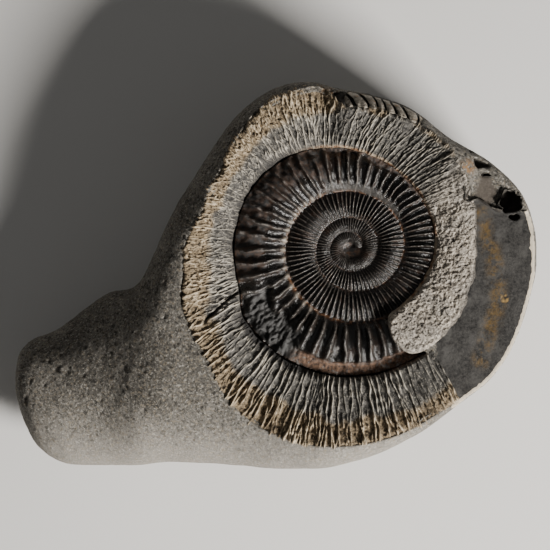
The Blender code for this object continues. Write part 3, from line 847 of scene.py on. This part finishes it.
def shell():
    """The coiled shell: one ribbed tube wound on itself, each turn lower than the one outside it."""
    step = 360 / SHELL_COLUMNS
    columns = round((SHELL_END - SHELL_START) / step)
    wound = SHELL_START + step * np.arange(columns + 1)
    inner, outer = turn_edge(wound), turn_edge(wound + 360)
    width = outer - inner
    v = (np.arange(SHELL_ROWS) / SHELL_ROWS)[:, None]  # 0 at the tube's inner seam, 1 at its outer one
    radius = inner + v * width
    turn = wound % 360
    last = ramp(wound, *LAST_TURN)
    x, y = from_centre(wound, radius)
    plan = xyz(x, y, 0 * x)

    # Ribs, 1 on a crest: their place along the tube sweeps across it and wobbles
    phase = np.cumsum(step / through(RIB_SPACING, wound))
    phase = phase + 0.10 * np.sin(wound / 17.0) + 0.07 * np.sin(wound / 7.3 + 1)
    wobble = grain(plan, 0.0034, 45, 2)
    sweep = 0.30 * (v - 0.5) ** 2 + 0.16 * v
    place = phase + sweep + (0.05 + 0.09 * last) * wobble
    number = np.floor(place).astype(int)
    vary = np.random.default_rng(44).uniform(0.7, 1.2, 1200)[number % 1200]
    wave = 0.5 + 0.5 * np.cos(2 * np.pi * place)
    rib = wave ** (1.6 + 0.6 * last)

    # How tall the ribs are, as a share of the tube's width
    start = 0.04 + 0.14 * last * between(turn, 30, 118, 12)
    share = (0.115 + 0.010 * last) * vary * ramp(v, start, start + 0.16) * (1 - 0.75 * ramp(v, 0.90, 1.0))
    share = share * (1 - 0.25 * ramp(-wound, -60, 200))
    uneven = np.clip(grain(plan, 0.0016, 46, 2), -1, 1)
    share = share * (1 + (0.10 + 0.25 * last) * uneven)

    # The tube's round back, partly covered on the last turn
    cover = 1 - 0.30 * last * (1 - ramp(wound, 735, 800))
    bulge = np.sin(np.pi * np.clip(v * cover, 0, 1))
    seam = SHELL_LEVEL + SEAM_RISE * radius
    z = seam + (SHELL_LEVEL + TUBE_SHARE * width - seam) * bulge**0.8 + share * width * (rib - 0.45)
    spots = xyz(x, y, z)
    fine = grain(spots, 0.0007, 41, 2)
    broad = grain(spots, 0.0030, 42, 2)
    coarse = grain(spots, 0.0015, 43, 3)

    # Beads along the inner seam, the crushed stretch, the shelf, flaked places and a crust
    bead = np.exp(-(((v - 0.045) / 0.035) ** 2)) * wave**2 * last * between(turn, 112, 245, 12)
    z = z + (0.00004 + 0.00006 * last) * fine + 0.00014 * broad * last + 0.00055 * bead
    crush = last * between(turn, 200, 248, 10) * ramp(v + 0.12 * broad, 0.30, 0.52)
    crumbs = np.minimum(z, seam + 0.0013) - 0.0006 + 0.0006 * coarse + 0.0005 * fine
    z = z * (1 - crush) + crush * crumbs
    shelf = ramp(wound, 954, 962) * ramp(v + 0.03 * broad, 0.74, 0.80)
    z = z * (1 - shelf) + shelf * (seam + 0.0003 + 0.00022 * fine + 0.00028 * coarse)
    flaked = last * between(turn, 98, 204, 14) * ramp(v + 0.2 * broad, 0.30, 0.50)
    z = z - flaked * 0.0005 * np.maximum(coarse, -0.2)
    crust = last * between(turn, 28, 124, 16) * ramp(v + 0.08 * broad, 0.83, 0.90)
    z = z * (1 - crust) + crust * (seam + 0.0008 * (1 - v) + 0.0003 + 0.00035 * coarse + 0.0002 * fine)
    obj = wound_solid("shell", xyz(x, y, z), wound)
    move_points(obj, read_points(obj))

    seam_near = np.maximum(1 - ramp(v, 0.0, 0.07), ramp(v, 0.93, 1.0)) * (0.3 + 0.7 * last)
    smooth = last * between(turn, 22, 126, 26) * ramp(v, 0.0, 0.04)
    smooth = smooth * (1 - ramp(v + 0.05 * broad, 0.12, 0.22))
    fields = {"rib": rib, "shelf": shelf, "crush": crush, "seam": seam_near, "pale": smooth,
              "bead": bead, "flaked": np.maximum(flaked, crust)}
    not_painted = np.zeros(len(obj.data.vertices) - z.size)
    for name, field in fields.items():
        paint(obj, name, np.concatenate([field.T.ravel(), not_painted]))
    return obj


class Nodes:
    """Builds a material from nodes, a line for each."""

    def __init__(self, name):
        self.material = bpy.data.materials.new(name)
        self.material.use_nodes = True
        self.tree = self.material.node_tree
        self.shader = self.tree.nodes["Principled BSDF"]
        self.place = self.add("ShaderNodeTexCoord").outputs["Object"]

    def add(self, kind, inputs=None, **settings):
        """A new node with these settings and inputs."""
        node = self.tree.nodes.new(kind)
        for key, value in settings.items():
            setattr(node, key, value)
        for key, value in (inputs or {}).items():
            self.put(node.inputs[key], value)
        return node

    def put(self, socket, value):
        """Links another node's output to an input, or sets the input's value."""
        if isinstance(value, bpy.types.NodeSocket):
            self.tree.links.new(value, socket)
        elif isinstance(value, tuple) and len(value) == 3 and socket.type == "RGBA":
            socket.default_value = (*value, 1)
        else:
            socket.default_value = value

    def noise(self, size, detail=2.0, roughness=0.5):
        """Random values, 0 to 1, that change over about `size` metres."""
        inputs = {"Vector": self.place, "Scale": 1 / size, "Detail": detail, "Roughness": roughness}
        return self.add("ShaderNodeTexNoise", inputs).outputs["Fac"]

    def steps(self, value, low, high):
        """0 below low and 1 above high."""
        made = self.add("ShaderNodeMapRange", {"Value": value, "From Min": low, "From Max": high},
                        interpolation_type="SMOOTHSTEP")
        return made.outputs["Result"]

    def patches(self, size, detail, roughness, low, high):
        """Patches of about `size` metres: 1 on a patch and 0 off it."""
        return self.steps(self.noise(size, detail, roughness), low, high)

    def mix(self, share, a, b):
        """Colour a turned towards colour b."""
        made = self.add("ShaderNodeMix", data_type="RGBA")
        self.put(made.inputs["Factor"], share)
        self.put(made.inputs["A"], a)
        self.put(made.inputs["B"], b)
        return made.outputs[2]

    def cover(self, colour, *layers):
        """The colour under layers of (where, how strongly, colour)."""
        for where, strength, top in layers:
            if strength < 1:
                where = self.times(where, strength)
            colour = self.mix(where, colour, top)
        return colour

    def maths(self, operation, a, b):
        """The result of a maths node."""
        made = self.add("ShaderNodeMath", {0: a, 1: b}, operation=operation)
        return made.outputs["Value"]

    def times(self, a, b):
        """a times b."""
        return self.maths("MULTIPLY", a, b)

    def painted(self, name):
        """A value that paint() stored on the mesh."""
        return self.add("ShaderNodeAttribute", attribute_name=name).outputs["Fac"]

    def bump(self, height, distance):
        """Relief too fine for the mesh, up to `distance` tall."""
        inputs = {"Height": height, "Distance": distance, "Strength": 1.0}
        return self.add("ShaderNodeBump", inputs).outputs["Normal"]

    def done(self, colour, roughness, normal=None, specular=0.5):
        """The material, with these on its shader."""
        self.put(self.shader.inputs["Base Color"], colour)
        self.put(self.shader.inputs["Roughness"], roughness)
        self.shader.inputs["Specular IOR Level"].default_value = specular
        if normal:
            self.put(self.shader.inputs["Normal"], normal)
        return self.material


def weathered_stone():
    """Water-worn limestone, speckled with dark pits, and the fresh dark break with its pale rind."""
    n = Nodes("weathered_limestone")
    worn_and_lit = n.painted("worn_and_lit")
    speck_share = n.maths("SUBTRACT", 1.0, n.times(worn_and_lit, 0.72))
    pale_stone = n.mix(n.noise(0.005, 5, 0.65), (0.25, 0.234, 0.206), (0.38, 0.354, 0.312))
    tan_grains = n.patches(0.0008, 4, 0.75, 0.50, 0.66)
    pale_grains = n.patches(0.0006, 3, 0.75, 0.53, 0.64)
    specks = n.times(n.patches(0.0007, 5, 0.8, 0.49, 0.59), speck_share)
    flecks = n.times(n.patches(0.0017, 4, 0.75, 0.57, 0.63), speck_share)
    pad = n.mix(n.noise(0.0012, 5, 0.7), (0.042, 0.034, 0.027), (0.105, 0.088, 0.072))
    # Pale stone on the worn mask: water wear, and painted light on the near side
    colour = n.cover(
        n.mix(n.patches(0.011, 5, 0.7, 0.36, 0.64), (0.175, 0.163, 0.142), (0.100, 0.093, 0.080)),
        (worn_and_lit, 0.85, pale_stone),
        (tan_grains, 0.7, (0.30, 0.245, 0.170)),
        (pale_grains, 0.65, (0.46, 0.435, 0.385)),
        (specks, 0.85, (0.034, 0.030, 0.025)),
        (flecks, 0.8, (0.022, 0.020, 0.017)),
        (n.painted("pad"), 0.9, pad),
    )
    stain = n.times(n.painted("stain"), n.patches(0.0030, 5, 0.75, 0.40, 0.66))
    laid_bare = n.cover(
        n.mix(n.patches(0.0008, 6, 0.8, 0.34, 0.66), (0.011, 0.0105, 0.010), (0.052, 0.049, 0.045)),
        (n.patches(0.0045, 5, 0.7, 0.44, 0.66), 1, (0.060, 0.057, 0.053)),
        (stain, 0.85, (0.125, 0.076, 0.022)),
        (n.painted("pit_rim"), 1, (0.30, 0.19, 0.065)),
        (n.painted("pit"), 1, (0.010, 0.008, 0.006)),
    )
    ragged = n.maths("ADD", n.painted("rim"), n.times(n.noise(0.0028, 4, 0.6), 0.9))
    rind = n.mix(n.noise(0.0008, 3), (0.66, 0.59, 0.47), (0.48, 0.41, 0.31))
    laid_bare = n.mix(n.steps(ragged, 0.80, 0.86), rind, laid_bare)
    rusty = n.times(n.painted("rust"), n.patches(0.0011, 3, 0.6, 0.42, 0.58))
    rust = n.mix(n.noise(0.0007, 3), (0.20, 0.085, 0.022), (0.34, 0.215, 0.105))
    colour = n.cover(
        colour,
        (n.painted("fresh"), 1, laid_bare),
        (rusty, 1, rust),
        # painted shade in the trough, the hole and the pockets
        (n.painted("dark"), 0.92, (0.030, 0.026, 0.022)),
    )
    return n.done(colour, 0.86, n.bump(n.noise(0.0006, 7, 0.8), 0.00045), 0.3)


def rusty_shelf(n):
    """Colour of the mottled shelf between the shell and the ring: rust brown with grey bits."""
    brown = n.mix(n.patches(0.0009, 6, 0.8, 0.36, 0.64), (0.022, 0.012, 0.008), (0.200, 0.112, 0.066))
    return n.mix(n.patches(0.0013, 4, 0.7, 0.56, 0.64), brown, (0.165, 0.150, 0.135))


def ring_stone():
    """Ribbed ring: grey grooves, cream crests and a pitted tan outer zone; and the granular lobe."""
    n = Nodes("ring_limestone")
    crest = n.painted("crest")
    mottle = n.noise(0.0010, 6, 0.75)
    patch = n.patches(0.0050, 4, 0.65, 0.38, 0.62)
    # Crests paler and grooves darker: partly the stone's own colour, partly painted light and shade on
    # the ribs
    cream = n.mix(n.steps(mottle, 0.30, 0.70), (0.30, 0.27, 0.222), (0.66, 0.605, 0.50))
    blotches = n.patches(0.0015, 5, 0.75, 0.50, 0.62)
    flecks = n.patches(0.0006, 4, 0.75, 0.56, 0.64)
    inner_zone = n.cover(
        n.mix(n.steps(mottle, 0.32, 0.68), (0.014, 0.0135, 0.013), (0.125, 0.118, 0.106)),
        (patch, 0.35, (0.150, 0.141, 0.126)),
        (blotches, 0.8, (0.018, 0.017, 0.0155)),
        (n.steps(crest, 0.18, 0.55), 1, cream),
        (flecks, 0.6, (0.50, 0.455, 0.38)),
    )
    pits = n.patches(0.0008, 4, 0.75, 0.50, 0.60)
    crest_top = n.mix(n.steps(mottle, 0.30, 0.70), (0.38, 0.295, 0.19), (0.76, 0.645, 0.47))
    outer_zone = n.cover(
        n.mix(n.steps(mottle, 0.32, 0.68), (0.080, 0.058, 0.035), (0.37, 0.285, 0.18)),
        (pits, 0.9, (0.026, 0.019, 0.013)),
        (n.steps(crest, 0.22, 0.60), 0.85, crest_top),
    )
    granular = n.cover(
        n.mix(n.patches(0.0007, 6, 0.8, 0.34, 0.64), (0.085, 0.072, 0.058), (0.62, 0.545, 0.445)),
        (patch, 0.55, (0.200, 0.186, 0.170)),
        (n.patches(0.0009, 5, 0.75, 0.53, 0.61), 1, (0.036, 0.030, 0.025)),
        (n.patches(0.0006, 4, 0.75, 0.57, 0.65), 1, (0.68, 0.62, 0.52)),
    )
    seam = n.mix(n.patches(0.0014, 3, 0.6, 0.45, 0.6), (0.42, 0.33, 0.23), (0.17, 0.070, 0.024))
    # Near-black for the dark mask: painted shade in the crack and on the ring's inner lip, the rubble's
    # own dark, and the darker band at the lobe's outer edge
    rubble_dark_and_shade = n.mix(mottle, (0.008, 0.007, 0.007), (0.045, 0.042, 0.039))
    colour = n.cover(
        inner_zone,
        (n.painted("tan"), 1, outer_zone),
        (n.painted("lobe"), 1, granular),
        (n.painted("shelf"), 1, rusty_shelf(n)),
        (n.painted("line"), 0.85, seam),
        (n.painted("dark"), 1, rubble_dark_and_shade),
    )
    return n.done(colour, 0.82, n.bump(n.noise(0.0006, 7, 0.75), 0.00040), 0.3)


def rib_stone():
    """Pale grey-beige pads, slots painted near-black as painted shade, and a little rust."""
    n = Nodes("rib_limestone")
    colour = n.cover(
        n.mix(n.patches(0.0014, 5, 0.7, 0.32, 0.68), (0.16, 0.14, 0.112), (0.44, 0.395, 0.325)),
        (n.patches(0.0010, 4, 0.65, 0.55, 0.65), 1, (0.07, 0.055, 0.042)),
        (n.patches(0.0022, 3, 0.5, 0.56, 0.66), 0.7, (0.30, 0.155, 0.06)),
        # painted shade in the slots
        (n.steps(n.painted("slot"), 0.15, 0.6), 1, (0.010, 0.009, 0.008)),
    )
    return n.done(colour, 0.78, n.bump(n.noise(0.0007, 5, 0.7), 0.00018), 0.3)


def dark_shell():
    """Glossy near-black shell with brown patches, rusty seams and a worn pale strip; rib crests and beads
    carry painted highlights, and the grooves between ribs painted shade.
    """
    n = Nodes("fossil_shell")
    rib, shelf, crush, flaked = (n.painted(name) for name in ("rib", "shelf", "crush", "flaked"))
    mottle = n.noise(0.0014, 5, 0.65)
    off_crest = n.maths("SUBTRACT", 1.0, n.times(rib, 0.6))
    brown = n.times(n.patches(0.0034, 5, 0.65, 0.52, 0.66), off_crest)
    # painted highlight: paler patches on the rib crests
    crest_highlight = n.times(n.steps(rib, 0.60, 0.95), n.patches(0.0009, 4, 0.7, 0.38, 0.58))
    rusty = n.times(n.painted("seam"), n.patches(0.0013, 4, 0.6, 0.44, 0.60))
    flakes = n.times(flaked, n.patches(0.0015, 4, 0.65, 0.42, 0.60))
    strip = n.mix(mottle, (0.020, 0.019, 0.018), (0.125, 0.118, 0.108))
    crumbs = n.mix(n.noise(0.0009, 5, 0.7), (0.004, 0.0035, 0.003), (0.024, 0.022, 0.020))
    colour = n.cover(
        n.mix(mottle, (0.004, 0.0036, 0.0034), (0.030, 0.025, 0.022)),
        (brown, 0.75, (0.060, 0.030, 0.016)),
        # painted shade in the grooves between the ribs
        (n.steps(rib, 0.45, 0.05), 0.7, (0.0035, 0.003, 0.0026)),
        (crest_highlight, 0.65, (0.150, 0.134, 0.118)),
        (rusty, 0.8, (0.165, 0.075, 0.032)),
        (flakes, 0.8, (0.045, 0.023, 0.012)),
        (shelf, 1, rusty_shelf(n)),
        (n.painted("pale"), 0.6, strip),
        # painted highlight: the beads along the inner seam are painted pale cream
        (n.painted("bead"), 0.7, (0.36, 0.31, 0.25)),
        (crush, 1, crumbs),
    )
    polish = {"Value": n.noise(0.0012, 4, 0.6), "To Min": 0.10, "To Max": 0.38}
    gloss = n.add("ShaderNodeMapRange", polish).outputs["Result"]
    matt = n.maths("MAXIMUM", n.times(shelf, 0.8), n.times(crush, 0.60))
    matt = n.maths("MAXIMUM", matt, n.times(flaked, 0.74))
    return n.done(colour, n.maths("MAXIMUM", gloss, matt), n.bump(n.noise(0.0005, 6, 0.75), 0.00018), 0.6)


def pale_floor():
    """Plain matt studio floor."""
    n = Nodes("floor")
    colour = n.mix(n.noise(0.05, 2), (0.68, 0.67, 0.65), (0.72, 0.71, 0.69))
    return n.done(colour, 0.9)


def area_light(name, azimuth, elevation, distance, size, power, colour):
    """A square soft light aimed at the object; azimuth counts from +X towards +Y."""
    light = bpy.data.lights.new(name, "AREA")
    light.size = size
    light.energy = power
    light.color = colour
    obj = bpy.data.objects.new(name, light)
    bpy.context.collection.objects.link(obj)
    turn, lift = math.radians(azimuth), math.radians(elevation)
    out = distance * math.cos(lift)
    obj.location = (out * math.cos(turn), out * math.sin(turn), distance * math.sin(lift) + AIM_LEVEL)
    obj.rotation_euler = (math.pi / 2 - lift, 0, turn + math.pi / 2)


def studio():
    """Camera straight above, pale floor, one soft low light from the lower right and a weak fill."""
    camera = bpy.data.objects.new("camera", bpy.data.cameras.new("camera"))
    bpy.context.collection.objects.link(camera)
    camera.data.lens = LENS_MM
    camera.data.sensor_width = SENSOR_MM
    camera.location = (0, 0, SEEN_LEVEL + SEEN_WIDTH * LENS_MM / SENSOR_MM)
    bpy.context.scene.camera = camera
    bpy.ops.mesh.primitive_plane_add(size=4)
    floor = bpy.context.object
    floor.name = "floor"
    floor.location.z = FLOOR_LEVEL
    floor.data.materials.append(pale_floor())
    area_light("key", azimuth=-40, elevation=33, distance=0.9, size=0.26, power=22, colour=WARM_LIGHT)
    area_light("fill", azimuth=120, elevation=65, distance=1.0, size=0.8, power=0.35, colour=WHITE)
    world = bpy.data.worlds.new("studio")
    bpy.context.scene.world = world
    world.use_nodes = True
    background = world.node_tree.nodes["Background"]
    background.inputs["Color"].default_value = (*SOFT_WHITE, 1)
    background.inputs["Strength"].default_value = WORLD_STRENGTH


def dress(obj, material, node):
    """Finishes a piece: its material, smooth shading and body, and hides the CAD node it stands for."""
    obj.data.materials.clear()
    obj.data.materials.append(material)
    obj.data.shade_smooth()
    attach(obj, "root")
    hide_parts(node)


studio()
dress(stone(), weathered_stone(), "nodule")
face_finish = ring_stone()
dress(ring_face(), face_finish, "nodule")
dress(lobe(), face_finish, "nodule")
dress(shoulder_ribs(), rib_stone(), "nodule")
dress(shell(), dark_shell(), "ammonite")
bpy.context.view_layer.update()
